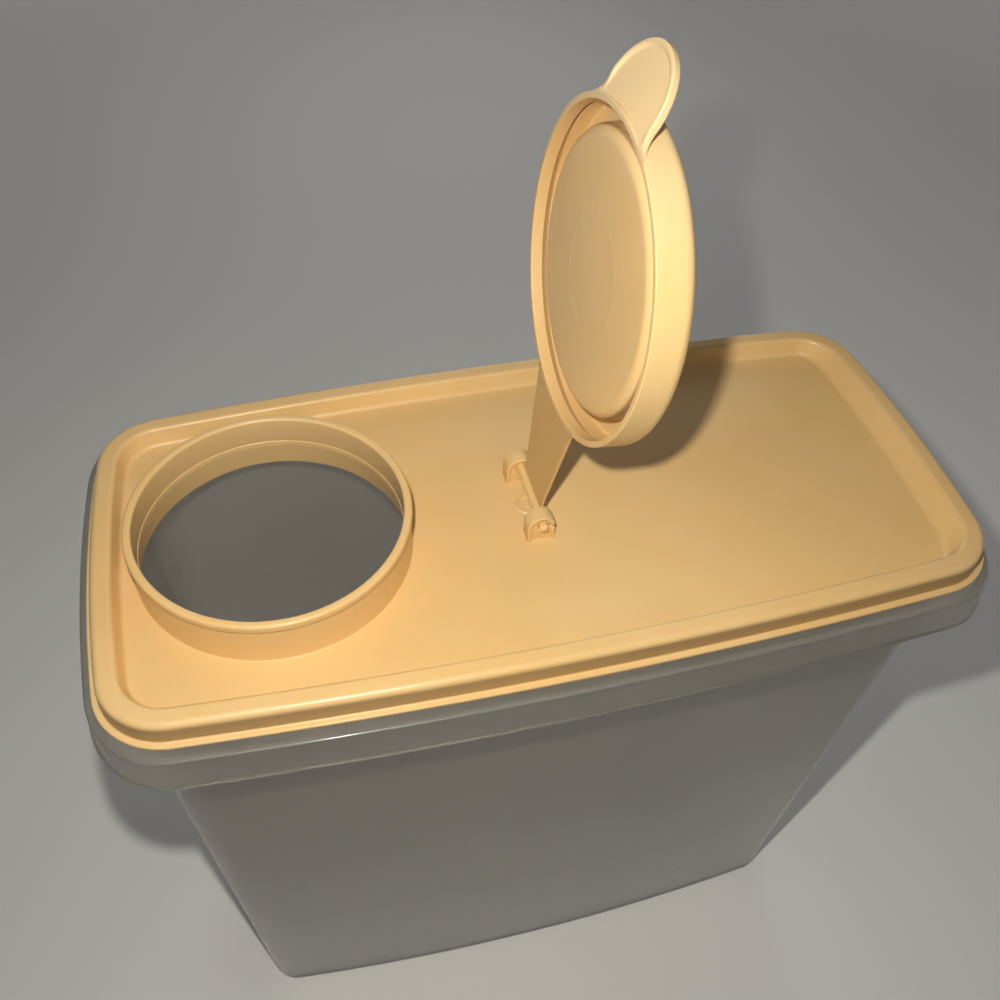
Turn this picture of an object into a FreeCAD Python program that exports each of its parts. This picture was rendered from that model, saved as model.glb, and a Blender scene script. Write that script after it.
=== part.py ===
import FreeCAD, Part
import math
import os

# A tall food keeper in three mouldings: a container, a lid with a pour collar, and a hinged flip cap.
# Millimetres. The base stands on z = 0, and x runs along the length, from the collar's end.

# Outline shared by container and lid, measured outside the wall just under the flange
mouth_length = 225.2
mouth_width = 100.8
long_side_bow = 4.4
short_side_bow = 3.0
mouth_corner_radius = 12.4

# Container
container_height = 203.4
wall = 1.5
end_lean = 10.6
side_lean = 5.2
base_long_side_bow = 5.4
base_short_side_bow = 2.7
base_corner_radius = 10.0
floor_thickness = 1.8
base_edge_radius = 2.0
base_inside_radius = 2.5
upright_wall = 3.0
flange_thickness = 1.5
flange_reach = 10.3
flange_corner_radius = 0.9
shoulder_radius = 0.6
skirt_drop = 9.4
skirt_flare = 1.1
skirt_thickness = 1.4
skirt_edge_radius = 0.4
rim_gap = 1.5
rim_thickness = 1.4
rim_height = 4.8
rim_edge_radius = 0.5

# Lid
lid_wall = 1.6
seal_clearance = 0.3
inner_wall_lean = 1.5
panel_foot_radius = 1.5
crest_thickness = 1.75
crest_inner_radius = 1.3
crest_outer_radius = 1.0
crest_wall = 1.6
groove_wall = 1.35
groove_radius = 0.5
lip_reach = 3.6
lip_thickness = 1.5
lip_edge_radius = 0.5
lid_edge_radius = 0.25
gate_radius = 3.0
gate_depth = 0.4

# Pour collar on the lid
collar_end_gap = 3.5
collar_height = 13.9
collar_bore_radius = 34.2
collar_wall = 1.6
collar_wall_spread = 0.3
collar_bead_overhang = 1.2
collar_bead_height = 2.2
collar_bead_slope = 0.8
collar_bead_radius = 0.8
collar_foot_radius = 0.8
collar_foot_margin = 1.2
bore_step = 0.25
bore_step_height = 5.6
bore_spread = 1.55
collar_downstand = 2.2

# Hinge: two hooded posts on the lid, and the cap's pin between them
hinge_reach = 69.7
pin_height = 5.2
pin_radius = 1.35
pin_clearance = 0.08
pin_chamfer = 0.3
pin_proud = 1.3
hood_radius = 3.3
hood_wall = 1.1
post_width = 4.6
post_web = 2.2
post_gap = 0.5
mouth_slit = 1.0
slit_below_pin = 0.6

# Flip cap
cap_height = 9.3
cap_wall = 1.1
cap_seat_gap = 0.3
cap_skirt_wall = 1.2
cap_skirt_clearance = 0.7
cap_skirt_step = 0.15
cap_skirt_step_height = 3.0
cap_edge_radius = 0.4
cap_shoulder_radius = 2.6
cap_channel_radius = 0.7
plug_clearance = 1.6
plug_wall = 1.5
plug_taper = 0.4
plug_recess = 1.8
plug_shoulder_radius = 3.0
dish_edge_radius = 1.2
dish_foot_radius = 1.5
cap_open_angle = 96.1

# Strap from the cap's skirt to the pin
strap_thickness = 1.8
strap_root_half_width = 8.3
strap_root_length = 5.0
strap_cap_half_width = 13.6
strap_pin_lift = 0.3
strap_end_past_pin = 1.0
strap_end_radius = 0.8

# Thumb tab opposite the strap
tab_radius = 12.2
tab_reach = 2.6
tab_root_inset = 1.9
tab_blend_radius = 6.0
tab_thickness = 1.3
tab_slope = 25.0
tab_rib_width = 1.3
tab_rib_height = 0.6

# Heights and places that follow from the sizes above
origin = FreeCAD.Vector(0, 0, 0)
up = FreeCAD.Vector(0, 0, 1)
along_pin = FreeCAD.Vector(0, 1, 0)
half_length = mouth_length / 2
half_width = mouth_width / 2
ledge_z = container_height
panel_z = ledge_z + lid_wall
rim_outside = rim_gap + rim_thickness
cavity_inside = rim_gap - seal_clearance
panel_edge = cavity_inside - lid_wall - inner_wall_lean
cavity_outside = rim_outside + seal_clearance
cavity_top = ledge_z + rim_height + seal_clearance
crest_z = cavity_top + crest_thickness
collar_wall_radius = collar_bore_radius + collar_wall
collar_base_radius = collar_wall_radius + collar_wall_spread
collar_rim_radius = collar_wall_radius + collar_bead_overhang
collar_x = -(half_length + panel_edge - collar_end_gap - collar_base_radius)
collar_centre = FreeCAD.Vector(collar_x, 0, 0)
collar_top = panel_z + collar_height
pin_x = collar_x + hinge_reach
pin_z = panel_z + pin_height
pin_centre = FreeCAD.Vector(pin_x, 0, pin_z)
post_inside = strap_root_half_width + post_gap
post_outside = post_inside + post_width
cap_rim_z = collar_top + cap_seat_gap + cap_wall - cap_height
cap_skirt_inside = collar_rim_radius + cap_skirt_clearance
cap_skirt_middle = cap_skirt_inside + cap_skirt_wall / 2
cap_skirt_outside = cap_skirt_inside + cap_skirt_wall
plug_radius = collar_bore_radius - plug_clearance


def rounded_wire(corners):
    # Closed wire in the XZ plane: each corner is (x, z, radius), and a round corner becomes a tangent arc.
    edges = []
    ends = []
    count = len(corners)
    for i in range(count):
        x, z, radius = corners[i]
        here = FreeCAD.Vector(x, 0, z)
        before = FreeCAD.Vector(corners[i - 1][0], 0, corners[i - 1][1]) - here
        after = FreeCAD.Vector(corners[(i + 1) % count][0], 0, corners[(i + 1) % count][1]) - here
        if radius == 0:
            ends.append((here, here))
            continue
        before.normalize()
        after.normalize()
        half_angle = before.getAngle(after) / 2
        reach = radius / math.tan(half_angle)
        middle = before + after
        middle.normalize()
        centre = here + middle * (radius / math.sin(half_angle))
        start = here + before * reach
        end = here + after * reach
        edges.append(Part.Arc(start, centre - middle * radius, end).toShape())
        ends.append((start, end))
    for i in range(count):
        start = ends[i][1]
        end = ends[(i + 1) % count][0]
        edges.append(Part.LineSegment(start, end).toShape())
    return Part.Wire(Part.__sortEdges__(edges))


def outline_arcs(long_half, short_half, long_bow, short_bow, corner_radius):
    # Centre, radius, start and turn in degrees of the eight tangent arcs, anticlockwise from the +X end.
    long_radius = (long_half ** 2 + long_bow ** 2) / (2 * long_bow)
    short_radius = (short_half ** 2 + short_bow ** 2) / (2 * short_bow)
    short_x = long_half - short_radius
    long_y = short_half - long_radius
    short_reach = short_radius - corner_radius
    long_reach = long_radius - corner_radius
    apart = math.hypot(short_x, long_y)
    along = (short_reach ** 2 - long_reach ** 2 + apart ** 2) / (2 * apart)
    across = math.sqrt(short_reach ** 2 - along ** 2)
    corner_x = short_x + (along * -short_x - across * long_y) / apart
    corner_y = (along * long_y - across * short_x) / apart
    end_angle = math.degrees(math.atan2(corner_y, corner_x - short_x))
    side_angle = math.degrees(math.atan2(corner_y - long_y, corner_x))
    corner_turn = side_angle - end_angle
    side_turn = 180 - 2 * side_angle
    arcs = []
    for turned, sign in ((0, 1), (180, -1)):
        arcs.append((sign * short_x, 0, short_radius, turned - end_angle, 2 * end_angle))
        arcs.append((sign * corner_x, sign * corner_y, corner_radius, turned + end_angle, corner_turn))
        arcs.append((0, sign * long_y, long_radius, turned + side_angle, side_turn))
        far_start = turned + 180 - side_angle
        arcs.append((-sign * corner_x, sign * corner_y, corner_radius, far_start, corner_turn))
    return arcs


def mouth_arcs():
    return outline_arcs(half_length, half_width, long_side_bow, short_side_bow, mouth_corner_radius)


def base_arcs():
    long_half = half_length - end_lean
    short_half = half_width - side_lean
    return outline_arcs(long_half, short_half, base_long_side_bow, base_short_side_bow, base_corner_radius)


def outline_wire(arcs, outside, z):
    # The outline set out by this distance, at this height.
    edges = []
    for x, y, radius, start, turn in arcs:
        centre = FreeCAD.Vector(x, y, z)
        edges.append(Part.makeCircle(radius + outside, centre, up, start, start + turn))
    return Part.Wire(edges)


def sweep_round_outline(corners):
    # A section drawn as (distance outside the mouth outline, height) carried all the way round.
    section = Part.Face(rounded_wire(corners))
    stretches = []
    for x, y, radius, start, turn in mouth_arcs():
        centre = FreeCAD.Vector(x, y, 0)
        stretch = section.copy()
        stretch.translate(FreeCAD.Vector(radius, 0, 0))
        stretch.rotate(origin, up, start)
        stretch.translate(centre)
        stretches.append(stretch.revolve(centre, up, turn))
    return stretches[0].multiFuse(stretches[1:])


def plate_inside(outside, low, high):
    # A flat plate filling the mouth outline set out by this distance.
    plate = Part.Face(outline_wire(mouth_arcs(), outside, low))
    return plate.extrude(FreeCAD.Vector(0, 0, high - low))


def leaning_form(outside, low, high, foot_radius):
    # A solid form leaning out from the base outline to the mouth outline, with a round foot.
    base = outline_wire(base_arcs(), outside, low)
    mouth = outline_wire(mouth_arcs(), outside, high)
    form = Part.makeLoft([base, mouth], True, True)
    foot = [edge for edge in form.Edges if edge.BoundBox.ZMax < low + foot_radius / 10]
    return form.makeFillet(foot_radius, foot)


def turned(corners, centre):
    # A profile of (radius, height, corner radius) turned a full circle about a vertical axis.
    profile = Part.Face(rounded_wire(corners))
    profile.translate(centre)
    return profile.revolve(centre, up, 360)


def one_solid(shape):
    joined = shape.removeSplitter()
    assert len(joined.Solids) == 1 and joined.isValid()
    return joined.Solids[0]


def make_container():
    flange_low = ledge_z - flange_thickness
    upright_low = flange_low - upright_wall
    skirt_low = ledge_z - skirt_drop
    skirt_outside = flange_reach + skirt_flare
    head = sweep_round_outline([
        (-wall, upright_low, 0),
        (0, upright_low, 0),
        (0, flange_low, flange_corner_radius),
        (flange_reach - skirt_thickness, flange_low, flange_corner_radius),
        (skirt_outside - skirt_thickness, skirt_low, skirt_edge_radius),
        (skirt_outside, skirt_low, skirt_edge_radius),
        (flange_reach, ledge_z, shoulder_radius),
        (rim_outside, ledge_z, 0),
        (rim_outside, ledge_z + rim_height, rim_edge_radius),
        (rim_gap, ledge_z + rim_height, rim_edge_radius),
        (rim_gap, ledge_z, 0),
        (-wall, ledge_z, rim_edge_radius),
    ])
    body = leaning_form(0, 0, upright_low, base_edge_radius)
    inside = leaning_form(-wall, floor_thickness, upright_low, base_inside_radius)
    return one_solid(head.fuse(body.cut(inside)))


def lid_edge():
    # The lid's rolled edge: sloping inner wall, crest, undercut groove and the lip that seats on the ledge.
    crest_outside = cavity_outside + crest_wall
    groove_outside = cavity_outside + groove_wall
    lip_outside = cavity_outside + lip_reach
    lip_top = ledge_z + lip_thickness
    panel_join = panel_edge - panel_foot_radius
    return sweep_round_outline([
        (panel_join, panel_z, 0),
        (panel_edge, panel_z, panel_foot_radius),
        (panel_edge + inner_wall_lean, crest_z, crest_inner_radius),
        (crest_outside, crest_z, crest_outer_radius),
        (groove_outside, lip_top, groove_radius),
        (lip_outside, lip_top, lip_edge_radius),
        (lip_outside, ledge_z, lid_edge_radius),
        (cavity_outside, ledge_z, lid_edge_radius),
        (cavity_outside, cavity_top, rim_edge_radius),
        (cavity_inside, cavity_top, rim_edge_radius),
        (cavity_inside - inner_wall_lean, ledge_z, lid_edge_radius),
        (panel_join, ledge_z, 0),
    ])


def pour_collar():
    bead_low = collar_top - collar_bead_height
    step_z = panel_z + bore_step_height
    margin_radius = collar_base_radius + collar_foot_margin
    foot_z = ledge_z - collar_downstand
    return turned([
        (collar_bore_radius + bore_step + bore_spread, foot_z, lid_edge_radius),
        (collar_bore_radius + bore_step, step_z, 0),
        (collar_bore_radius, step_z, 0),
        (collar_bore_radius, collar_top, collar_bead_radius),
        (collar_rim_radius, collar_top, collar_bead_radius),
        (collar_rim_radius, bead_low, collar_bead_radius / 2),
        (collar_wall_radius, bead_low - collar_bead_slope, collar_bead_radius / 2),
        (collar_base_radius, panel_z, collar_foot_radius),
        (margin_radius, panel_z, 0),
        (margin_radius, foot_z, lid_edge_radius),
    ], collar_centre)


def arch(radius, low, high):
    # A round-topped slab about the pin's axis, standing in the panel, between two places along the pin.
    foot = panel_z - lid_wall / 2
    left = FreeCAD.Vector(pin_x - radius, low, pin_z)
    right = FreeCAD.Vector(pin_x + radius, low, pin_z)
    top = FreeCAD.Vector(pin_x, low, pin_z + radius)
    left_foot = FreeCAD.Vector(left.x, low, foot)
    right_foot = FreeCAD.Vector(right.x, low, foot)
    edges = [
        Part.Arc(left, top, right).toShape(),
        Part.LineSegment(right, right_foot).toShape(),
        Part.LineSegment(right_foot, left_foot).toShape(),
        Part.LineSegment(left_foot, left).toShape(),
    ]
    return Part.Face(Part.Wire(edges)).extrude(FreeCAD.Vector(0, high - low, 0))


def hinge_post(near, far):
    # One hooded post: an arch with a thinner web inside it, bored for the pin and slit towards +X.
    recess_depth = (post_width - post_web) / 2
    post = arch(hood_radius, near, far)
    above_panel = Part.makeBox(
        4 * hood_radius, far - near, 4 * hood_radius,
        FreeCAD.Vector(pin_x - 2 * hood_radius, near, panel_z))
    for low, high in ((near, near + recess_depth), (far - recess_depth, far)):
        post = post.cut(arch(hood_radius - hood_wall, low, high).common(above_panel))
    bore_start = FreeCAD.Vector(pin_x, near, pin_z)
    post = post.cut(Part.makeCylinder(pin_radius + pin_clearance, far - near, bore_start, along_pin))
    slit_corner = FreeCAD.Vector(pin_x, near, pin_z - slit_below_pin - mouth_slit / 2)
    return post.cut(Part.makeBox(2 * hood_radius, far - near, mouth_slit, slit_corner))


def make_lid():
    panel_join = panel_edge - panel_foot_radius
    panel = plate_inside(panel_join, ledge_z, panel_z)
    hole_radius = (collar_bore_radius + collar_base_radius) / 2
    hole_centre = collar_centre + up * (ledge_z - lid_wall / 2)
    panel = panel.cut(Part.makeCylinder(hole_radius, 2 * lid_wall, hole_centre))
    gate_centre = FreeCAD.Vector(pin_x, 0, panel_z - gate_depth)
    panel = panel.cut(Part.makeCylinder(gate_radius, 2 * gate_depth, gate_centre))
    pieces = [
        panel,
        pour_collar(),
        hinge_post(post_inside, post_outside),
        hinge_post(-post_outside, -post_inside),
    ]
    return one_solid(lid_edge().multiFuse(pieces))


def cap_shell():
    # The closed cap: a skirt that drops round the collar, a channel for its rim, and a dished plug.
    top = cap_rim_z + cap_height
    roof = top - cap_wall
    disc_low = cap_rim_z + plug_recess
    disc_high = disc_low + cap_wall
    step_z = cap_rim_z + cap_skirt_step_height
    dish_radius = plug_radius - plug_wall
    return turned([
        (0, disc_low, 0),
        (plug_radius, disc_low, plug_shoulder_radius),
        (plug_radius + plug_taper, roof, cap_channel_radius),
        (cap_skirt_inside - cap_skirt_step, roof, cap_channel_radius),
        (cap_skirt_inside - cap_skirt_step, step_z, 0),
        (cap_skirt_inside, step_z, 0),
        (cap_skirt_inside, cap_rim_z, cap_edge_radius),
        (cap_skirt_outside, cap_rim_z, cap_edge_radius),
        (cap_skirt_outside, top, cap_shoulder_radius),
        (dish_radius + plug_taper, top, dish_edge_radius),
        (dish_radius, disc_high, dish_foot_radius),
        (0, disc_high, 0),
    ], collar_centre)


def strap():
    # Side view cut to a flared plan: narrow between the posts, wide where it meets the skirt.
    cap_end = collar_x + cap_skirt_middle
    pin_end = pin_x + strap_end_past_pin
    pin_low = pin_z + strap_pin_lift
    side = Part.Face(rounded_wire([
        (cap_end - strap_cap_half_width, cap_rim_z, 0),
        (cap_end, cap_rim_z, 0),
        (pin_end, pin_low, strap_end_radius),
        (pin_end, pin_low + strap_thickness, strap_end_radius),
        (cap_end, cap_rim_z + strap_thickness, 0),
        (cap_end - strap_cap_half_width, cap_rim_z + strap_thickness, 0),
    ]))
    reach = 2 * strap_cap_half_width
    side.translate(along_pin * -reach)
    side = side.extrude(along_pin * 2 * reach)
    root_x = pin_x - strap_root_length
    low = cap_rim_z - cap_height
    half_plan = [
        (pin_end, strap_root_half_width),
        (root_x, strap_root_half_width),
        (cap_end, strap_cap_half_width),
        (cap_end - strap_cap_half_width, strap_cap_half_width),
    ]
    plan = [FreeCAD.Vector(x, y, low) for x, y in half_plan]
    plan += [FreeCAD.Vector(x, -y, low) for x, y in reversed(half_plan)]
    flared = Part.Face(Part.makePolygon(plan + plan[:1])).extrude(up * 3 * cap_height)
    clear = Part.makeCylinder(cap_skirt_middle, 4 * cap_height, FreeCAD.Vector(collar_x, 0, low))
    return side.common(flared).cut(clear)


def hinge_pin():
    half = post_outside + pin_proud
    pin = turned([
        (0, -half, 0),
        (pin_radius - pin_chamfer, -half, 0),
        (pin_radius, pin_chamfer - half, 0),
        (pin_radius, half - pin_chamfer, 0),
        (pin_radius - pin_chamfer, half, 0),
        (0, half, 0),
    ], origin)
    pin.rotate(origin, FreeCAD.Vector(1, 0, 0), 90)
    pin.translate(pin_centre)
    return pin


def tab_outline(inset):
    # Plan of the thumb tab about the cap's centre, blended into the skirt by two hollow arcs.
    paddle_x = -(cap_skirt_outside + tab_reach)
    paddle_radius = tab_radius - inset
    blend = tab_blend_radius + inset
    to_paddle = paddle_radius + blend
    to_skirt = cap_skirt_outside + blend
    blend_x = (to_skirt ** 2 - to_paddle ** 2 + paddle_x ** 2) / (2 * paddle_x)
    blend_y = math.sqrt(to_skirt ** 2 - blend_x ** 2)
    paddle = FreeCAD.Vector(paddle_x, 0, 0)
    tip = FreeCAD.Vector(paddle_x - paddle_radius, 0, 0)
    root_radius = cap_skirt_outside - 4 * cap_skirt_wall
    sides = []
    for sign in (1, -1):
        centre = FreeCAD.Vector(blend_x, sign * blend_y, 0)
        at_paddle = paddle + (centre - paddle) * (paddle_radius / to_paddle)
        at_skirt = centre * (cap_skirt_outside / to_skirt)
        towards = (at_paddle - centre) + (at_skirt - centre)
        towards.normalize()
        root = centre * (root_radius / to_skirt)
        sides.append((at_paddle, centre + towards * blend, at_skirt, root))
    left, right = sides
    root_middle = FreeCAD.Vector(-root_radius, 0, 0)
    edges = [
        Part.Arc(left[0], tip, right[0]).toShape(),
        Part.Arc(right[0], right[1], right[2]).toShape(),
        Part.LineSegment(right[2], right[3]).toShape(),
        Part.Arc(right[3], root_middle, left[3]).toShape(),
        Part.LineSegment(left[3], left[2]).toShape(),
        Part.Arc(left[2], left[1], left[0]).toShape(),
    ]
    return Part.Face(Part.Wire(edges))


def thumb_tab():
    # A sloping paddle with a raised rib round its edge, on the underside.
    plate = tab_outline(0).extrude(up * tab_thickness)
    border = tab_outline(0).cut(tab_outline(tab_rib_width))
    rib = border.extrude(up * -tab_rib_height)
    beyond = Part.makeCylinder(
        cap_skirt_outside + tab_reach, 4 * tab_rib_height, origin - up * 2 * tab_rib_height)
    tab = plate.fuse(rib.cut(beyond))
    tab.rotate(FreeCAD.Vector(tab_root_inset - cap_skirt_outside, 0, 0), along_pin, tab_slope)
    within_skirt = Part.makeCylinder(cap_skirt_middle, 4 * cap_height, up * -2 * cap_height)
    below_rim = Part.makeCylinder(2 * cap_skirt_outside, cap_height, up * -cap_height)
    tab = tab.cut(within_skirt).cut(below_rim)
    tab.translate(FreeCAD.Vector(collar_x, 0, cap_rim_z))
    return tab


def make_flip_cap():
    cap = one_solid(cap_shell().multiFuse([strap(), hinge_pin(), thumb_tab()]))
    cap.rotate(pin_centre, along_pin, cap_open_angle)
    return cap


os.makedirs("parts", exist_ok=True)
nodes = {"container": make_container(), "lid": make_lid(), "flip_cap": make_flip_cap()}
for name, shape in nodes.items():
    shape.exportStep("parts/" + name + ".step")
    box = shape.BoundBox
    print(name, "volume %.0f" % shape.Volume, "z %.2f to %.2f" % (box.ZMin, box.ZMax))
print("pin at x %.3f z %.3f" % (pin_x, pin_z), "collar at x %.3f" % collar_x, "panel at z %.3f" % panel_z)
print("cap rim plane when closed %.3f above the pin" % (cap_rim_z - pin_z))
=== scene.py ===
import bpy
import bmesh
import math
from mathutils import Matrix, Vector


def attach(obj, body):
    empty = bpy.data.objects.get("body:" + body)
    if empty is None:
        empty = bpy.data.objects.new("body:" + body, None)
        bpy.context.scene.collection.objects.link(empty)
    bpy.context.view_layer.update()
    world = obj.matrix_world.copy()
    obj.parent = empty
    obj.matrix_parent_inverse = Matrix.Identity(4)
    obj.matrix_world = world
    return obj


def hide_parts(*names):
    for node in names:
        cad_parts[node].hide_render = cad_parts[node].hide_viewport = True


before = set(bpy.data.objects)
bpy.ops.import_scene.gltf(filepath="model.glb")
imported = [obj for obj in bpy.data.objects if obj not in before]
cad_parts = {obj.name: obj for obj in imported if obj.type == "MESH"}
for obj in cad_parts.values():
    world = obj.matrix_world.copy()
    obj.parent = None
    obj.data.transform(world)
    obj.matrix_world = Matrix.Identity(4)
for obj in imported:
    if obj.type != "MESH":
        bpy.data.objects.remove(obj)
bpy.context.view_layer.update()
scene = bpy.context.scene
mm = 0.001


# paths and sections, all in millimetres until a mesh is made

outline = {
    "length": 225.2, "width": 100.8, "longBow": 4.4, "shortBow": 3.0, "cornerRadius": 12.4,
    "endSteps": 24, "cornerSteps": 18, "sideSteps": 52,
}
baseOutline = {
    "length": 204.0, "width": 90.4, "longBow": 5.4, "shortBow": 2.7, "cornerRadius": 10.0,
    "endSteps": 24, "cornerSteps": 18, "sideSteps": 52,
}


def clamp(value):
    return min(1.0, max(0.0, value))


def arcPoints(cx, cy, radius, start, turn, steps):
    angles = [start + turn * i / steps for i in range(steps)]  # the last point belongs to the next arc
    return [(cx + radius * math.cos(a), cy + radius * math.sin(a)) for a in angles]


def outlinePath(o):
    halfLength, halfWidth = o["length"] / 2, o["width"] / 2
    longRadius = (halfLength ** 2 + o["longBow"] ** 2) / (2 * o["longBow"])
    shortRadius = (halfWidth ** 2 + o["shortBow"] ** 2) / (2 * o["shortBow"])
    shortX, longY = halfLength - shortRadius, halfWidth - longRadius
    shortReach, longReach = shortRadius - o["cornerRadius"], longRadius - o["cornerRadius"]
    apart = math.hypot(shortX, longY)
    along = (shortReach ** 2 - longReach ** 2 + apart ** 2) / (2 * apart)
    across = math.sqrt(shortReach ** 2 - along ** 2)
    cornerX = shortX + (along * -shortX - across * longY) / apart
    cornerY = (along * longY - across * shortX) / apart
    endAngle = math.atan2(cornerY, cornerX - shortX)
    sideAngle = math.atan2(cornerY - longY, cornerX)
    points = []
    for turned, sign in ((0, 1), (math.pi, -1)):  # two half outlines, anticlockwise
        points += arcPoints(sign * shortX, 0, shortRadius, turned - endAngle, 2 * endAngle, o["endSteps"])
        points += arcPoints(sign * cornerX, sign * cornerY, o["cornerRadius"], turned + endAngle,
                            sideAngle - endAngle, o["cornerSteps"])
        points += arcPoints(0, sign * longY, longRadius, turned + sideAngle, math.pi - 2 * sideAngle,
                            o["sideSteps"])
        points += arcPoints(-sign * cornerX, sign * cornerY, o["cornerRadius"], turned + math.pi - sideAngle,
                            sideAngle - endAngle, o["cornerSteps"])
    return points


def endFacing(path, k, start=0.3, span=0.65):
    # how far this point of the outline faces the plain end (1) or the collar's end (-1)
    before, after = path[k - 1], path[(k + 1) % len(path)]
    facing = (after[1] - before[1]) / math.dist(before, after)
    return math.copysign(clamp((abs(facing) - start) / span), facing)


def circlePath(radius, steps, cx=0.0, cy=0.0):
    return arcPoints(cx, cy, radius, 0, 2 * math.pi, steps)


def roundedPath(corners, closed, longest=14.0, guard=0.3, arcStep=math.radians(9)):
    # corners are (x, y, radius): round corners become arcs, and straight runs get guard points by their ends
    stops, count = [], len(corners)
    for i, (x, y, radius) in enumerate(corners):
        here = Vector((x, y))
        if radius == 0 or (not closed and i in (0, count - 1)):
            stops.append([here])
            continue
        before = (Vector(corners[i - 1][:2]) - here).normalized()
        after = (Vector(corners[(i + 1) % count][:2]) - here).normalized()
        half = before.angle(after) / 2
        middle = (before + after).normalized()
        centre = here + middle * (radius / math.sin(half))
        start = here + before * (radius / math.tan(half)) - centre
        end = here + after * (radius / math.tan(half)) - centre
        sweepAngle = start.angle_signed(end)  # clockwise positive in mathutils
        steps = max(3, round(abs(sweepAngle) / arcStep))
        turn = [Matrix.Rotation(-sweepAngle * k / steps, 2) @ start + centre for k in range(steps + 1)]
        stops.append(turn)
    points = []
    for i, stop in enumerate(stops):
        points += stop
        if not closed and i == count - 1:
            break
        start, end = stop[-1], stops[(i + 1) % count][0]
        run = end - start
        if run.length > 4 * guard:  # guard points keep flat faces flat in smooth shading
            inner = max(1, math.ceil((run.length - 2 * guard) / longest))
            shares = [guard / run.length + (1 - 2 * guard / run.length) * k / inner for k in range(inner + 1)]
            points += [start + run * share for share in shares]
    return [(p.x, p.y) for p in points]


# one sweep tree: a section is carried along a level path, standing upright on it

mergeDistance = 2e-6
waveFade = 0.05  # a wall's slight waver sets in over this much height
stillWave = {"waveHeight": 0.0, "waveLength": 0.06, "waveTop": 0.19, "waveSeed": 1.0}


def sweepTree():
    tree = bpy.data.node_groups.new("sectionSweep", "GeometryNodeTree")
    for name, kind in (("Path", "Geometry"), ("Section", "Object"), ("Merge Distance", "Float"),
                       ("Wave Height", "Float"), ("Wave Length", "Float"), ("Wave Top", "Float"),
                       ("Wave Seed", "Float"), ("Material", "Material")):
        tree.interface.new_socket(name=name, in_out="INPUT", socket_type="NodeSocket" + kind)
    tree.interface.new_socket(name="Mesh", in_out="OUTPUT", socket_type="NodeSocketGeometry")

    def node(kind, settings=None, **links):
        made = tree.nodes.new(kind)
        for key, value in (settings or {}).items():
            setattr(made, key, value)
        for key, value in links.items():
            socket = made.inputs[int(key[1:])] if key[1:].isdigit() else made.inputs[key.replace("_", " ")]
            if isinstance(value, bpy.types.NodeSocket):
                tree.links.new(value, socket)
            else:
                socket.default_value = value
        return made

    def maths(operation, first, second):
        return node("ShaderNodeMath", {"operation": operation}, i0=first, i1=second).outputs[0]

    given = node("NodeGroupInput").outputs
    path = node("GeometryNodeSetCurveNormal", {"mode": "Z_UP"}, Curve=given["Path"])
    section = node("GeometryNodeObjectInfo", {"transform_space": "ORIGINAL"}, Object=given["Section"])
    swept = node("GeometryNodeCurveToMesh", Curve=path.outputs[0], Profile_Curve=section.outputs["Geometry"])
    merged = node("GeometryNodeMergeByDistance", Geometry=swept.outputs[0], Distance=given["Merge Distance"])
    place = node("GeometryNodeInputPosition").outputs[0]
    noise = node("ShaderNodeTexNoise", {"noise_dimensions": "4D"}, Vector=place, W=given["Wave Seed"],
                 Scale=maths("DIVIDE", 1.0, given["Wave Length"]), Detail=1.0).outputs[0]
    wave = maths("MULTIPLY", maths("SUBTRACT", noise, 0.5), given["Wave Height"])
    fade = node("ShaderNodeMapRange", {"interpolation_type": "SMOOTHSTEP"},
                Value=node("ShaderNodeSeparateXYZ", Vector=place).outputs["Z"], From_Min=given["Wave Top"],
                From_Max=maths("SUBTRACT", given["Wave Top"], waveFade), To_Min=0.0, To_Max=1.0).outputs[0]
    level = node("ShaderNodeVectorMath", {"operation": "MULTIPLY"},
                 i0=node("GeometryNodeInputNormal").outputs[0], i1=(1.0, 1.0, 0.0)).outputs[0]
    push = node("ShaderNodeVectorMath", {"operation": "SCALE"}, i0=level, Scale=maths("MULTIPLY", wave, fade))
    waved = node("GeometryNodeSetPosition", Geometry=merged.outputs[0], Offset=push.outputs[0])
    smooth = node("GeometryNodeSetShadeSmooth", Geometry=waved.outputs[0])
    real = node("GeometryNodeRealizeInstances", Geometry=smooth.outputs[0])
    dressed = node("GeometryNodeSetMaterial", Geometry=real.outputs[0], Material=given["Material"])
    node("NodeGroupOutput", Mesh=dressed.outputs[0])
    return tree


def polyLine(name, points, closed):
    line = bpy.data.curves.new(name, "CURVE")
    line.dimensions = "3D"
    spline = line.splines.new("POLY")
    spline.points.add(len(points) - 1)
    spline.points.foreach_set("co", [c for p in points for c in (p[0] * mm, p[1] * mm, 0.0, 1.0)])
    spline.use_cyclic_u = closed
    made = bpy.data.objects.new(name, line)
    scene.collection.objects.link(made)
    return made


def swept(name, path, section, material, **wave):
    host = polyLine(name + "Path", path, True)
    profile = polyLine(name + "Section", [(x, -z) for x, z in section], False)  # the tree hangs +y down
    modifier = host.modifiers.new("sweep", "NODES")
    modifier.node_group = sweep
    sockets = {item.name: item.identifier for item in sweep.interface.items_tree if item.in_out == "INPUT"}
    given = {"Section": profile, "Merge Distance": mergeDistance, "Material": material}
    given.update({key.replace("wave", "Wave "): value for key, value in {**stillWave, **wave}.items()})
    for key, value in given.items():
        modifier[sockets[key]] = value
    bpy.context.view_layer.update()
    graph = bpy.context.evaluated_depsgraph_get()
    mesh = bpy.data.meshes.new_from_object(host.evaluated_get(graph), depsgraph=graph)
    host.modifiers.remove(modifier)
    for used in (host, profile):
        bpy.data.objects.remove(used)
    return mesh


def lathed(name, section, radius, steps, material, cx=0.0):
    # the section is drawn from the axis, and goes round it on a circle of this radius
    return swept(name, circlePath(radius, steps, cx), [(x - radius, z) for x, z in section], material)


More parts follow.
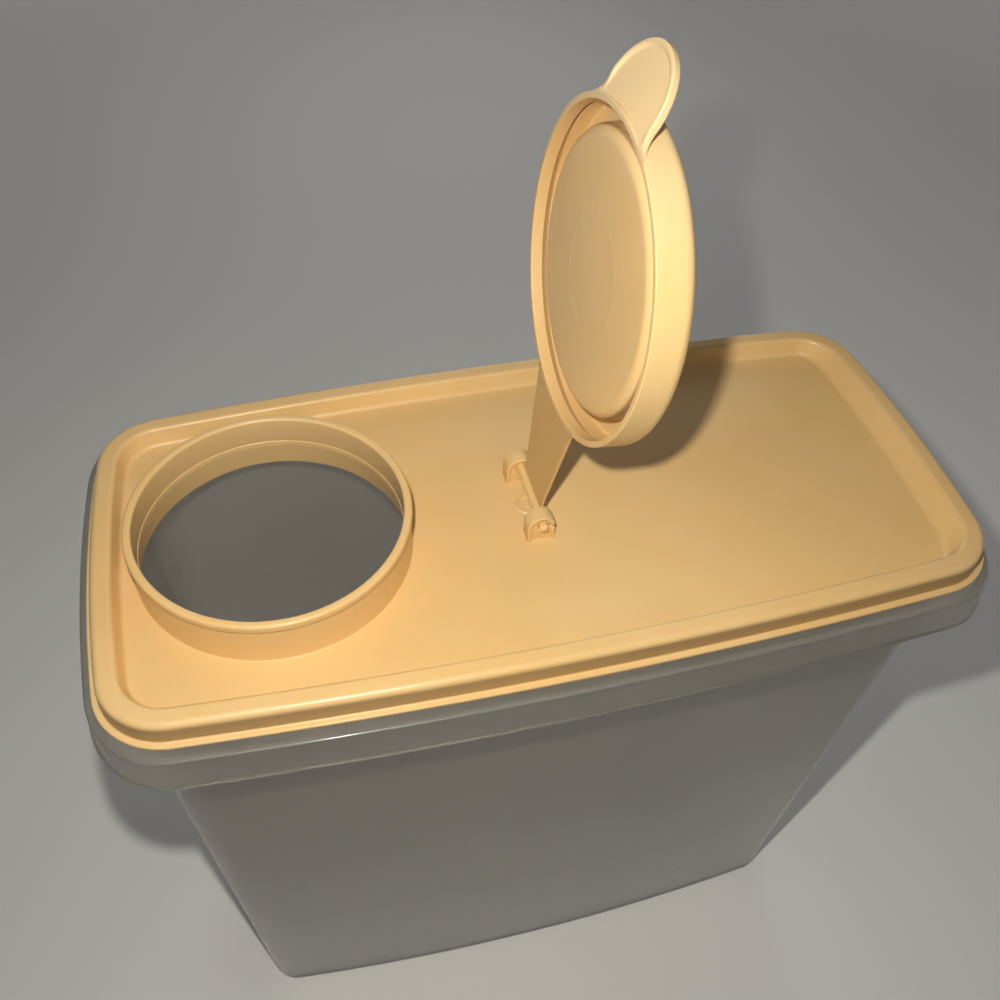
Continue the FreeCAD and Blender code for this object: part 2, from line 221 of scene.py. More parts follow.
def fillLoops(work, level, slack=0.05 * mm):
    # closes every open loop that lies at this height with one flat fill, holes left open
    loops = [e for e in work.edges
             if e.is_boundary and all(abs(v.co.z - level * mm) < slack for v in e.verts)]
    bmesh.ops.triangle_fill(work, edges=loops, use_beauty=True)


def finishPiece(name, work, material, body, node, sharp=math.radians(38)):
    bmesh.ops.recalc_face_normals(work, faces=work.faces[:])
    for face in work.faces:
        face.smooth = True
    for edge in work.edges:
        edge.smooth = len(edge.link_faces) != 2 or edge.calc_face_angle(0.0) < sharp
    openEdges = sum(e.is_boundary for e in work.edges)
    mesh = bpy.data.meshes.new(name)
    work.to_mesh(mesh)
    work.free()
    mesh.materials.clear()
    mesh.materials.append(material)
    piece = bpy.data.objects.new(name, mesh)
    scene.collection.objects.link(piece)
    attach(piece, body)
    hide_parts(node)
    print("piece", name, len(mesh.polygons), "faces", openEdges, "open edges")


def gather(*meshes):
    work = bmesh.new()
    for mesh in meshes:
        work.from_mesh(mesh)
    return work


# shader maths as expressions: a socket that adds its own Math nodes

class Term:
    def __init__(self, shade, socket):
        self.shade, self.socket = shade, socket

    def join(self, operation, left, right):
        return self.shade.add("ShaderNodeMath", {"operation": operation}, {0: left, 1: right})

    def __add__(self, other): return self.join("ADD", self, other)
    def __radd__(self, other): return self.join("ADD", other, self)
    def __sub__(self, other): return self.join("SUBTRACT", self, other)
    def __rsub__(self, other): return self.join("SUBTRACT", other, self)
    def __mul__(self, other): return self.join("MULTIPLY", self, other)
    def __rmul__(self, other): return self.join("MULTIPLY", other, self)


class Shade:
    def __init__(self, name):
        self.material = bpy.data.materials.new(name)
        self.material.use_nodes = True
        self.tree = self.material.node_tree
        self.surface = next(n for n in self.tree.nodes if n.type == "BSDF_PRINCIPLED")

    def add(self, kind, settings=None, sockets=None, output=0):
        made = self.tree.nodes.new(kind)
        for key, value in (settings or {}).items():
            setattr(made, key, value)
        for key, value in (sockets or {}).items():
            self.feed(made.inputs[key], value)
        return Term(self, made.outputs[output])

    def feed(self, socket, value):
        if isinstance(value, Term):
            self.tree.links.new(value.socket, socket)
        else:
            socket.default_value = value

    def noise(self, place, scale, detail=2.0, rough=0.5, seed=0.0):
        return self.add("ShaderNodeTexNoise", {"noise_dimensions": "4D"},
                        {"Vector": place, "W": seed, "Scale": scale, "Detail": detail, "Roughness": rough})

    def step(self, value, low, high, bottom=0.0, top=1.0):
        return self.add("ShaderNodeMapRange", {"interpolation_type": "SMOOTHSTEP"},
                        {"Value": value, "From Min": low, "From Max": high, "To Min": bottom, "To Max": top})

    def mix(self, factor, first, second):
        return self.add("ShaderNodeMix", {"data_type": "RGBA"}, {0: factor, 6: first, 7: second}, 2)

    def place(self):
        return self.add("ShaderNodeTexCoord", None, None, 3)

    def stretch(self, place, scale):
        return self.add("ShaderNodeMapping", None, {"Vector": place, "Scale": scale})

    def bump(self, height, strength, distance, under=None):
        sockets = {"Height": height, "Strength": strength, "Distance": distance}
        if under:
            sockets["Normal"] = under
        return self.add("ShaderNodeBump", None, sockets)

    def finish(self, **sockets):
        for key, value in sockets.items():
            self.feed(self.surface.inputs[key.replace("_", " ")], value)
        return self.material


# the brown-black tone below is painted shade, and the scuff tone is also painted light high on the cap
almond = {
    "tone": (0.775, 0.510, 0.211, 1), "paleTone": (0.82, 0.565, 0.262, 1), "scuffAndLightTone": (0.92, 0.76, 0.50, 1),
    "paintedShadeTone": (0.30, 0.165, 0.055, 1), "roughness": 0.40, "grain": 5200.0, "seed": 3.0,
}


def almondPlastic(name, a, seed):
    s = Shade(name)
    place = s.place()
    along, across = s.stretch(place, (9.0, 30.0, 30.0)), s.stretch(place, (40.0, 900.0, 900.0))
    cloud = s.noise(place, scale=16.0, detail=3.0, seed=seed)  # slow drift of tone in the moulding
    flow = s.noise(along, scale=1.0, detail=3.0, rough=0.55, seed=seed + 4)  # long streaks of melt flow
    fleck = s.step(s.noise(place, scale=900.0, rough=0.6, seed=seed + 9), 0.735, 0.76)  # scuffed specks
    handled = s.noise(place, scale=60.0, detail=4.0, rough=0.6, seed=seed + 12)
    rub = s.step(handled, 0.50, 0.72)  # patches that handling has dulled
    grain = s.noise(place, scale=a["grain"], seed=seed + 20)  # spark-eroded mould face
    ripple = s.noise(place, scale=38.0, detail=1.0, rough=0.4, seed=seed + 30)  # slight sink of flat faces
    scratch = s.step(s.noise(across, scale=1.0, rough=0.6, seed=seed + 40), 0.66, 0.70)
    colour = s.mix(s.step(cloud * 0.65 + flow * 0.35, 0.36, 0.64), a["tone"], a["paleTone"])
    height = s.add("ShaderNodeSeparateXYZ", None, {"Vector": place}, 2)
    paintedTopLight = s.step(height, low=0.300, high=0.322, top=0.42)  # painted light: paler high up on the cap
    colour = s.mix(paintedTopLight, colour, a["scuffAndLightTone"])
    paintedShade = s.add("ShaderNodeAttribute", {"attribute_name": "paintedShade"}, None, 2)
    colour = s.mix(paintedShade * (0.55 + cloud * 0.3), colour, a["paintedShadeTone"])  # painted shade: darker in the lid's outer groove, the collar's bore, the cap's inner groove and on the strap
    colour = s.mix(fleck * rub * 0.75, colour, a["scuffAndLightTone"])
    normal = s.bump(ripple, strength=0.12, distance=0.0012)
    normal = s.bump(grain - scratch * 0.5, strength=0.16, distance=0.00005, under=normal)
    rough = a["roughness"] + (cloud - 0.5) * 0.10 + rub * 0.07 - scratch * 0.06
    return s.finish(Base_Color=colour, Roughness=rough, Normal=normal, IOR=1.5, Specular_IOR_Level=0.45,
                    Coat_Weight=0.10, Coat_Roughness=0.2, Subsurface_Weight=0.10,
                    Subsurface_Radius=(1.0, 0.65, 0.35), Subsurface_Scale=0.002)


# the pale tone at the bottom is painted light from the floor
frosted = {
    "tone": (0.655, 0.625, 0.56, 1), "paleTone": (0.705, 0.675, 0.61, 1), "hazeTone": (0.80, 0.785, 0.74, 1),
    "floorLightTone": (0.96, 0.94, 0.885, 1),
    "roughness": 0.42, "grain": 3600.0, "seed": 57.0,
}


def frostedPlastic(name, f):
    s = Shade(name)
    place, seed = s.place(), f["seed"]
    upright, fine = s.stretch(place, (26.0, 26.0, 5.0)), s.stretch(place, (700.0, 700.0, 26.0))
    cloud = s.noise(place, scale=9.0, detail=3.0, seed=seed)
    flow = s.noise(upright, scale=1.0, detail=3.0, rough=0.55, seed=seed + 3)  # upright streaks of melt flow
    worn = s.noise(place, scale=42.0, detail=4.0, rough=0.62, seed=seed + 7)
    haze = s.step(worn, 0.52, 0.74)  # cloudy wear from washing
    grain = s.noise(place, scale=f["grain"], seed=seed + 11)
    ripple = s.noise(place, scale=24.0, detail=1.0, rough=0.4, seed=seed + 15)
    scratch = s.step(s.noise(fine, scale=1.0, rough=0.6, seed=seed + 19), 0.67, 0.71)
    colour = s.mix(s.step(cloud * 0.5 + flow * 0.5, 0.38, 0.62), f["tone"], f["paleTone"])
    height = s.add("ShaderNodeSeparateXYZ", None, {"Vector": place}, 2)
    foot = s.step(height, low=0.0, high=0.16, bottom=0.9, top=0.0)  # painted light from the floor: paler towards the bottom
    colour = s.mix(foot, colour, f["floorLightTone"])
    colour = s.mix(haze * 0.28 + scratch * 0.2, colour, f["hazeTone"])
    normal = s.bump(ripple, strength=0.15, distance=0.0018)
    normal = s.bump(grain - scratch * 0.6, strength=0.22, distance=0.00006, under=normal)
    rough = f["roughness"] + haze * 0.12 + (flow - 0.5) * 0.08
    return s.finish(Base_Color=colour, Roughness=rough, Normal=normal, IOR=1.5, Specular_IOR_Level=0.4,
                    Coat_Weight=0.45, Coat_Roughness=0.13, Transmission_Weight=0.90)


sweep = sweepTree()
lidPlastic = almondPlastic("almondLidPlastic", almond, almond["seed"])
capPlastic = almondPlastic("almondCapPlastic", almond, almond["seed"] + 60)
bodyPlastic = frostedPlastic("frostedBodyPlastic", frosted)
print("stage materials")


# container: wall, floor, flange with its hanging skirt, and the sealing rim

container = {
    "height": 203.4, "wall": 1.5, "floor": 1.8, "floorJoin": 0.6, "baseRadius": 2.0, "insideRadius": 2.5,
    "upright": 3.0, "flange": 1.5, "reach": 10.3, "flangeRadius": 0.9, "shoulder": 0.6, "drop": 10.3,
    "flare": 1.1, "skirt": 1.4, "edge": 0.4, "rimGap": 1.5, "rim": 1.4, "rimHeight": 4.8, "rimEdge": 0.5,
    "rimFoot": 0.2, "ridge": 0.28, "ridgeHeight": 0.7, "ridgeSlope": 1.2, "ridgeSink": 0.15,
    "ridgeEdge": 0.25, "ridgeTop": 0.15, "ridgeFoot": 0.3,
    "collarEndTrim": 1.7, "plainEndTrim": 3.0, "trimRun": 1.5,
    "waveHeight": 0.0005, "waveLength": 0.09, "waveTop": 0.185, "waveSeed": 4.2,
}


def makeContainer(c):
    ledge, under = c["height"], c["height"] - c["flange"]
    bend, skirtLow = under - c["upright"], ledge - c["drop"]
    join = -c["wall"] - c["insideRadius"] - c["floorJoin"]
    rimOut, rimTop, skirtOut = c["rimGap"] + c["rim"], ledge + c["rimHeight"], c["reach"] + c["flare"]
    ridge = skirtOut + c["ridge"]
    section = roundedPath([
        (join, 0, 0), (0, 0, c["baseRadius"]), (0, bend, 0), (0, under, c["flangeRadius"]),
        (c["reach"] - c["skirt"], under, c["flangeRadius"]), (skirtOut - c["skirt"], skirtLow, c["edge"]),
        (ridge, skirtLow, c["ridgeEdge"]), (ridge, skirtLow + c["ridgeHeight"], c["ridgeTop"]),
        (skirtOut - c["ridgeSink"], skirtLow + c["ridgeSlope"], c["ridgeFoot"]),
        (c["reach"], ledge, c["shoulder"]), (rimOut, ledge, c["rimFoot"]), (rimOut, rimTop, c["rimEdge"]),
        (c["rimGap"], rimTop, c["rimEdge"]), (c["rimGap"], ledge, c["rimFoot"]),
        (-c["wall"], ledge, c["rimEdge"]), (-c["wall"], bend, 0),
        (-c["wall"], c["floor"], c["insideRadius"]), (join, c["floor"], 0),
    ], False)
    mouth, base = outlinePath(outline), outlinePath(baseOutline)
    shell = swept("container", mouth, section, bodyPlastic, **{k: c[k] for k in c if "wave" in k})
    assert len(shell.vertices) == len(mouth) * len(section)
    for i, v in enumerate(shell.vertices):  # the upright sweep leans in towards the smaller base
        k, part = divmod(i, len(section))
        lean = max(0.0, 1 - v.co.z / (bend * mm)) * mm
        v.co.x += (base[k][0] - mouth[k][0]) * lean
        v.co.y += (base[k][1] - mouth[k][1]) * lean
        out = clamp((section[part][0] - rimOut) / (c["reach"] - rimOut - c["trimRun"]))
        ends = endFacing(mouth, k)  # the flange is narrower at the two ends
        v.co.x -= out * mm * (c["plainEndTrim"] * max(0.0, ends) + c["collarEndTrim"] * min(0.0, ends))
    work = gather(shell)
    fillLoops(work, 0)
    fillLoops(work, c["floor"])
    finishPiece("keeperContainer", work, bodyPlastic, "container", "container")


makeContainer(container)
print("stage container")


# lid: rolled edge, sunk panel, pour collar and the hooded hinge posts

lid = {
    "wall": 1.6, "clearance": 0.3, "lean": 1.5, "footRadius": 1.5, "panelJoin": 0.1, "crest": 1.75,
    "crestInner": 1.3, "crestOuter": 1.9, "crestWall": 1.7, "grooveWall": 2.0, "grooveRadius": 0.5,
    "cavityRadius": 0.5, "lipReach": 3.6, "lip": 0.85, "lipRadius": 0.35, "edge": 0.25, "endSlope": 2.6,
    "shadeFrom": 0.5, "shadeBelow": 0.7, "shadeRun": 1.2, "shadeAbove": 0.1, "shadeFade": 0.3,
}
gate = {
    "radius": 3.0, "shift": -0.6, "depth": 0.35, "margin": 1.0, "ring": 0.24, "ringOuter": (0.5, 0.25),
    "ringInner": (0.15, 0.45), "nub": 0.25, "nubTop": 0.7, "nubFoot": 0.9, "round": 0.1, "ringRound": 0.12,
    "dishRound": 0.2, "steps": 64,
}
collar = {
    "x": -71.1, "height": 13.9, "bore": 34.2, "wall": 1.6, "spread": 0.3, "overhang": 0.65, "beadHeight": 2.0,
    "beadSlope": 1.0, "beadRadius": 0.8, "footRadius": 0.35, "margin": 0.6, "ring": 0.3, "underRadius": 0.2,
    "step": 0.12, "stepHeight": 5.6, "stepRise": 0.12, "stepRadius": 0.04, "stepFall": 1.4, "stepFoot": 0.6,
    "boreSpread": 1.2, "boreShade": 0.35, "shadeDepth": 0.3, "shadeAbove": 0.2, "shadeBelow": 0.6, "shadeRun": 2.0,
    "downstand": 2.2, "steps": 160,
}
hinge = {
    "x": -1.4, "height": 5.2, "pin": 1.35, "pinClearance": 0.08, "pinRound": 1.0, "pinSteps": 40,
    "proud": 1.3, "hood": 3.3, "hoodWall": 0.85, "hoodStretch": 1.28, "hoodSteps": 28, "innerSteps": 24,
    "inside": 8.8, "width": 4.6, "web": 3.3, "webBevel": 0.12, "sink": 0.8, "overlap": 0.2, "slit": 1.0,
    "slitBelow": 0.6, "bevel": 0.22,
}
ledgeZ = container["height"]
panelZ = ledgeZ + lid["wall"]
pinZ = panelZ + hinge["height"]


def markPaintedShade(mesh, share):
    # writes how much painted shade each point gets, from its radius about the collar's axis and its height
    paintedShade = mesh.attributes.new("paintedShade", "FLOAT", "POINT")
    for v in mesh.vertices:
        radius = math.hypot(v.co.x / mm - collar["x"], v.co.y / mm)
        paintedShade.data[v.index].value = max(0.0, share(radius, v.co.z / mm))


def lidEdge(p, c):
    inside = c["rimGap"] - p["clearance"]
    outside = c["rimGap"] + c["rim"] + p["clearance"]
    top = ledgeZ + c["rimHeight"] + p["clearance"]
    crest, panelEdge, lipTop = top + p["crest"], inside - p["wall"] - p["lean"], ledgeZ + p["lip"]
    join, lip = panelEdge - p["footRadius"] - p["panelJoin"], outside + p["lipReach"]
    section = roundedPath([
        (join, panelZ, 0), (panelEdge, panelZ, p["footRadius"]),
        (panelEdge + p["lean"], crest, p["crestInner"]), (outside + p["crestWall"], crest, p["crestOuter"]),
        (outside + p["grooveWall"], lipTop, p["grooveRadius"]), (lip, lipTop, p["lipRadius"]),
        (lip, ledgeZ, p["edge"]), (outside, ledgeZ, p["edge"]), (outside, top, p["cavityRadius"]),
        (inside, top, p["cavityRadius"]), (inside - p["lean"], ledgeZ, p["edge"]), (join, ledgeZ, 0),
    ], False)
    path = outlinePath(outline)
    mesh = swept("lidEdge", path, section, lidPlastic)
    assert len(mesh.vertices) == len(path) * len(section)
    inner = next(i for i, spot in enumerate(section) if spot[1] > crest - 1e-6)
    paintedShade = mesh.attributes.new("paintedShade", "FLOAT", "POINT")
    for i, v in enumerate(mesh.vertices):
        k, part = divmod(i, len(section))
        x, z = section[part]
        if x > outside + p["shadeFrom"]:  # painted shade on the outer wall, from below the crest down to the lip
            belowCrest, aboveLip = crest - z - p["shadeBelow"], z - lipTop - p["shadeAbove"]
            paintedShade.data[i].value = clamp(min(belowCrest / p["shadeRun"], aboveLip / p["shadeFade"]))
        if part < inner:  # the plain end's inner wall lies back further than the others
            share = max(0.0, endFacing(path, k)) * (crest - z) / (crest - panelZ)
            v.co.x -= p["endSlope"] * share * mm
    return mesh


def pourCollar(k, p):
    top, stepZ, foot = panelZ + k["height"], panelZ + k["stepHeight"], ledgeZ - k["downstand"]
    bore, wall, bead = k["bore"], k["bore"] + k["wall"], top - k["beadHeight"]
    base, rim, narrow = wall + k["spread"], wall + k["overhang"], bore - k["step"]
    margin = base + k["margin"]
    ring, soft = margin + k["ring"], k["stepRadius"]
    section = roundedPath([
        (ring, panelZ, 0), (base, panelZ, k["footRadius"]),
        (wall, bead - k["beadSlope"], k["beadRadius"] / 2), (rim, bead, k["beadRadius"] / 2),
        (rim, top, k["beadRadius"]), (bore, top, k["beadRadius"]), (bore, stepZ + k["stepRise"], soft),
        (narrow, stepZ, soft), (narrow, stepZ - k["stepFall"], k["stepFoot"]),
        (bore + k["boreSpread"], foot, p["edge"]), (margin, foot, p["edge"]),
        (margin, ledgeZ, k["underRadius"]), (ring, ledgeZ, 0),
    ], False)
    mesh = lathed("pourCollar", section, bore, k["steps"], lidPlastic, k["x"])

    def shadeShare(radius, z):  # painted shade on the bore above its step, up to just below the rim
        inBore = radius < bore + k["shadeDepth"] and z > stepZ + k["shadeAbove"]
        return k["boreShade"] * min(1.0, (top - z - k["shadeBelow"]) / k["shadeRun"]) if inBore else 0.0

    markPaintedShade(mesh, shadeShare)
    return mesh


def gateMark(g):
    r, low, ring = g["radius"], panelZ - g["depth"], panelZ + g["ring"]
    (footOut, topOut), (topIn, footIn), nub = g["ringOuter"], g["ringInner"], low + g["nub"]
    section = roundedPath([
        (r + g["margin"], panelZ, 0), (r + footOut, panelZ, g["round"]), (r + topOut, ring, g["round"]),
        (r - topIn, ring, g["ringRound"]), (r - footIn, low, g["dishRound"]),
        (g["nubFoot"], low, g["round"]), (g["nubTop"], nub, g["round"]), (0, nub, 0),
    ], False)
    return lathed("gateMark", section, r, g["steps"], lidPlastic, hinge["x"] + g["shift"])


def arch(radius, start, end, steps):
    angles = [math.radians(start + (end - start) * i / steps) for i in range(steps + 1)]
    return [(radius * math.cos(a), radius * math.sin(a)) for a in angles]


def turnAbout(spot, angle):
    return Matrix.Translation(spot) @ Matrix.Rotation(angle, 4, "Y") @ Matrix.Translation(-spot)


def slab(points, low, high, bevel, sharpFrom=math.radians(40)):
    # an upright slab about the pin's axis, drawn in x and z and thick along y, with softened edges
    work = bmesh.new()
    ring = [work.verts.new(((hinge["x"] + x) * mm, low * mm, (pinZ + z) * mm)) for x, z in points]
    face = work.faces.new(ring)
    pushed = bmesh.ops.extrude_face_region(work, geom=[face])
    moved = [v for v in pushed["geom"] if isinstance(v, bmesh.types.BMVert)]
    bmesh.ops.translate(work, verts=moved, vec=(0, (high - low) * mm, 0))
    bmesh.ops.recalc_face_normals(work, faces=work.faces[:])
    sharp = [e for e in work.edges if e.calc_face_angle(0.0) > sharpFrom]
    bmesh.ops.bevel(work, geom=sharp, offset=bevel * mm, segments=3, profile=0.5, affect="EDGES",
                    clamp_overlap=True)
    mesh = bpy.data.meshes.new("slab")
    work.to_mesh(mesh)
    work.free()
    return mesh


def hingePosts(h):
    inner, hole, foot = h["hood"] - h["hoodWall"], h["pin"] + h["pinClearance"], -h["height"] - h["sink"]
    slitTop, slitLow = h["slit"] / 2 - h["slitBelow"], -h["slit"] / 2 - h["slitBelow"]

    def at(radius, z):
        return math.degrees(math.asin(z / radius))

    def stretched(run):  # the hood is longer on the collar's side
        return [(x * (h["hoodStretch"] if x < 0 else 1.0), z) for x, z in run]

    outer = stretched([(-h["hood"], foot)] + arch(h["hood"], 180, at(h["hood"], slitTop), h["hoodSteps"]))
    web = outer + arch(hole, at(hole, slitTop), 360 + at(hole, slitLow), h["hoodSteps"])
    web += [(h["hood"], slitLow), (h["hood"], foot)]
    hood = outer + stretched(arch(inner, at(inner, slitTop), 180, h["innerSteps"]) + [(-inner, foot)])
    jaw = [(h["hood"], slitLow), (h["hood"], foot), (inner, foot), (inner, slitLow)]
    recess, overlap = (h["width"] - h["web"]) / 2, h["overlap"]
    meshes = []
    for side in (1, -1):
        near, far = h["inside"], h["inside"] + h["width"]
        runs = [(web, near + recess, far - recess, h["webBevel"])]
        runs += [(shape, near, near + recess + overlap, h["bevel"]) for shape in (hood, jaw)]
        runs += [(shape, far - recess - overlap, far, h["bevel"]) for shape in (hood, jaw)]
        for shape, low, high, bevel in runs:
            span = sorted((side * low, side * high))
            meshes.append(slab(shape, span[0], span[1], bevel))
    return meshes


work = gather(lidEdge(lid, container), pourCollar(collar, lid), gateMark(gate))
fillLoops(work, panelZ)
fillLoops(work, ledgeZ)
for mesh in hingePosts(hinge):
    work.from_mesh(mesh)
finishPiece("keeperLid", work, lidPlastic, "lid", "lid")
print("stage lid")


# flip cap: made closed on the collar, then turned about the pin to its open rest

cap = {
    "height": 9.3, "wall": 1.1, "seatGap": 0.3, "skirt": 1.2, "clearance": 1.9, "rimBand": 0.45,
    "rimSlope": 0.15, "rimRadius": 0.12, "step": 0.15, "stepHeight": 3.2, "grooveDepth": 0.5,
    "grooveHeight": 1.2, "grooveSlope": 0.2, "grooveRadius": 0.1, "edge": 0.25, "shoulder": 2.6,
    "channel": 0.7, "plugClearance": 1.6, "plugWall": 1.5, "taper": 0.4, "recess": 1.8, "plugShoulder": 3.0,
    "dishEdge": 1.2, "dishFoot": 1.5, "ring": 14.0, "ringHeight": 0.042, "ringTop": 0.3, "ringFoot": 0.9,
    "ringTopRadius": 0.25, "ringFootRadius": 0.5, "shadeInside": 0.3, "shadeMargin": 0.1,
    "openAngle": 96.1, "steps": 176,
}
strap = {
    "thickness": 0.85, "rootHalf": 8.3, "rootLength": 5.0, "capHalf": 14.1, "lift": 0.3, "pastPin": 1.0,
    "round": 0.3, "pinCorner": 0.9, "rootCorner": 7.0, "inset": 1.4, "arcSteps": 6, "shadeShare": 0.45,
}
tab = {
    "radius": 12.2, "reach": 2.6, "rootInset": 1.9, "blend": 6.0, "thickness": 1.3, "slope": 25.0,
    "ribWidth": 1.3, "ribHeight": 0.6, "ribSlope": 0.7, "ribRound": 0.35, "backRound": 0.45, "tight": 0.7,
    "ribRise": ((0.25, 0.04), (0.5, 0.3), (0.75, 0.75), (1.0, 0.97), (1.2, 1.0)),
    "fadeLead": 1.0, "fadeRun": 3.5, "wingLift": 0.05, "steps": 30,
}
capRimZ = panelZ + collar["height"] + cap["seatGap"] + cap["wall"] - cap["height"]
skirtIn = collar["bore"] + collar["wall"] + cap["clearance"]
skirtOut = skirtIn + cap["skirt"]
skirtMiddle = skirtOut - cap["skirt"] / 2


def capShell(c):
    top = capRimZ + c["height"]
    roof, discLow = top - c["wall"], capRimZ + c["recess"]
    discHigh, stepZ = discLow + c["wall"], capRimZ + c["stepHeight"]
    grooveTop, ring, ringLow = stepZ + c["grooveHeight"], c["ring"], discLow - c["ringHeight"]
    plug = collar["bore"] - c["plugClearance"]
    dish, inner, band = plug - c["plugWall"], skirtIn + c["step"], skirtIn - c["rimBand"]
    deep, soft = inner + c["grooveDepth"], c["grooveRadius"]
    section = roundedPath([
        (0, discLow, 0), (ring - c["ringFoot"], discLow, c["ringFootRadius"]),
        (ring - c["ringTop"], ringLow, c["ringTopRadius"]),
        (ring + c["ringTop"], ringLow, c["ringTopRadius"]),
        (ring + c["ringFoot"], discLow, c["ringFootRadius"]), (plug, discLow, c["plugShoulder"]),
        (plug + c["taper"], roof, c["channel"]), (inner, roof, c["channel"]), (inner, grooveTop, soft),
        (deep, grooveTop - c["grooveSlope"], soft), (deep, stepZ, soft),
        (band, stepZ - c["rimSlope"], c["rimRadius"]), (band + c["rimSlope"], capRimZ, c["edge"]),
        (skirtOut, capRimZ, c["edge"]), (skirtOut, top, c["shoulder"]),
        (dish + c["taper"], top, c["dishEdge"]), (dish, discHigh, c["dishFoot"]), (0, discHigh, 0),
    ], False)
    mesh = lathed("capShell", section, skirtOut, c["steps"], capPlastic, collar["x"])

    def shadeShare(radius, z):  # painted shade in the fine groove behind the rim
        inGroove = stepZ - c["shadeMargin"] < z < grooveTop - c["shadeMargin"]
        return 1.0 if inGroove and radius < skirtOut - c["shadeInside"] else 0.0

    markPaintedShade(mesh, shadeShare)
    return mesh


def strapMesh(s):
    # a flat plate with a rounded edge, swept round its plan and filled, then sloped from the cap to the pin
    capEnd, pinEnd, rootX = collar["x"] + skirtMiddle, hinge["x"] + s["pastPin"], hinge["x"] - s["rootLength"]
    reach, steps = math.asin(s["capHalf"] / skirtMiddle), s["arcSteps"]
    turns = [reach * k / steps for k in range(steps, -steps - 1, -1)]
    skirtArc = [(collar["x"] + skirtMiddle * math.cos(a), skirtMiddle * math.sin(a), 0) for a in turns]
    path = roundedPath([
        (pinEnd, -s["rootHalf"], s["pinCorner"]), (pinEnd, s["rootHalf"], s["pinCorner"]),
        (rootX, s["rootHalf"], s["rootCorner"]), *skirtArc, (rootX, -s["rootHalf"], s["rootCorner"]),
    ], True, longest=3.0)
    t, inset, soft = s["thickness"], -s["inset"], s["round"]
    section = roundedPath([(inset, 0, 0), (0, 0, soft), (0, t, soft), (inset, t, 0)], False, guard=0.1)
    work = gather(swept("strap", path, section, capPlastic))
    fillLoops(work, 0)
    fillLoops(work, t)
    rise = (pinZ + s["lift"] - capRimZ) / (pinEnd - capEnd)
    for v in work.verts:
        v.co.z += (capRimZ + rise * max(0.0, v.co.x / mm - capEnd)) * mm
    return work


def tabPlan(t):
    # the free edge from wing to wing round the paddle, and the half angle that its root spans on the skirt
    paddleX, steps = skirtOut + t["reach"], t["steps"]
    toPaddle, toSkirt = t["radius"] + t["blend"], skirtOut + t["blend"]
    blendX = (toSkirt ** 2 - toPaddle ** 2 + paddleX ** 2) / (2 * paddleX)
    blendY = math.sqrt(toSkirt ** 2 - blendX ** 2)
    tipAngle, rootAngle = math.atan2(blendY, blendX - paddleX), math.atan2(blendY, blendX)
    turn = rootAngle - tipAngle
    points = arcPoints(blendX, -blendY, t["blend"], math.pi - rootAngle, turn, steps)
    points += arcPoints(paddleX, 0, t["radius"], -tipAngle, 2 * tipAngle, 2 * steps)
    points += arcPoints(blendX, blendY, t["blend"], tipAngle + math.pi, turn, steps)
    points.append((skirtOut * math.cos(rootAngle), skirtOut * math.sin(rootAngle)))
    return points, rootAngle


def tabMesh(t):
    rib, thick, deep = t["ribHeight"], t["thickness"], t["ribWidth"] + t["ribSlope"]
    under, over = t["ribRound"], t["backRound"]
    points, rootAngle = tabPlan(t)
    count = len(points)
    soft = [math.radians(a) for a in range(0, 91, 15)]
    ways = (0.0, 0.25, 0.5, 0.75, 1.0)
    # a row is its inset from the edge, share of the rib, height and way to the root
    rows = [(deep, 0.0, 0.0, way) for way in reversed(ways)]
    rows += [(deep - run, share, 0.0, 0.0) for run, share in t["ribRise"]]
    rows += [(under - under * math.sin(a), 1.0, under - under * math.cos(a), 0.0) for a in soft]
    rows += [(over - over * math.cos(a), 0.0, thick - over + over * math.sin(a), 0.0) for a in soft]
    rows += [(deep, 0.0, thick, way) for way in ways]
    work, grid = bmesh.new(), []
    for i, (x, y) in enumerate(points):
        along = rootAngle * (2 * i / (count - 1) - 1)
        edge = Vector((x, y))
        root = Vector((skirtMiddle * math.cos(along), skirtMiddle * math.sin(along)))
        inward, reach = (root - edge).normalized(), (root - edge).length
        tight = min(1.0, t["tight"] * reach / deep)
        past = math.hypot(x, y) - skirtOut - t["reach"]
        fade = clamp((past + t["fadeLead"]) / t["fadeRun"])  # the rib runs out at the neck
        ring = []
        for inset, share, height, way in rows:
            spot = edge + inward * (inset * tight + (reach - inset * tight) * way)
            z = height * (tight if 0 < height < thick / 2 else 1.0) - rib * share * fade
            ring.append(work.verts.new((spot.x * mm, spot.y * mm, z * mm)))
        grid.append(ring)
    for near, far in zip(grid, grid[1:]):
        for j in range(len(rows)):
            k = (j + 1) % len(rows)
            work.faces.new((near[j], far[j], far[k], near[k]))
    work.faces.new(grid[0])
    work.faces.new(list(reversed(grid[-1])))
    root = Vector(((skirtOut - t["rootInset"]) * mm, 0, 0))
    bmesh.ops.transform(work, matrix=turnAbout(root, -math.radians(t["slope"])), verts=work.verts[:])
    for v in work.verts:  # the wings stay level with the cap's rim
        v.co.z = max(v.co.z, t["wingLift"] * mm)
    away = Matrix.Translation((collar["x"] * mm, 0, capRimZ * mm)) @ Matrix.Rotation(math.pi, 4, "Z")
    bmesh.ops.transform(work, matrix=away, verts=work.verts[:])
    return work


def pinMesh(h):
    half, r, soft = h["inside"] + h["width"] + h["proud"], h["pin"], h["pinRound"]
    section = roundedPath([(0, -half, 0), (r, -half, soft), (r, half, soft), (0, half, 0)], False,
                          longest=6.0, guard=0.08)
    mesh = lathed("hingePin", section, r, h["pinSteps"], capPlastic)
    across = Matrix.Rotation(math.radians(90), 4, "X")
    mesh.transform(Matrix.Translation((h["x"] * mm, 0, pinZ * mm)) @ across)
    return mesh


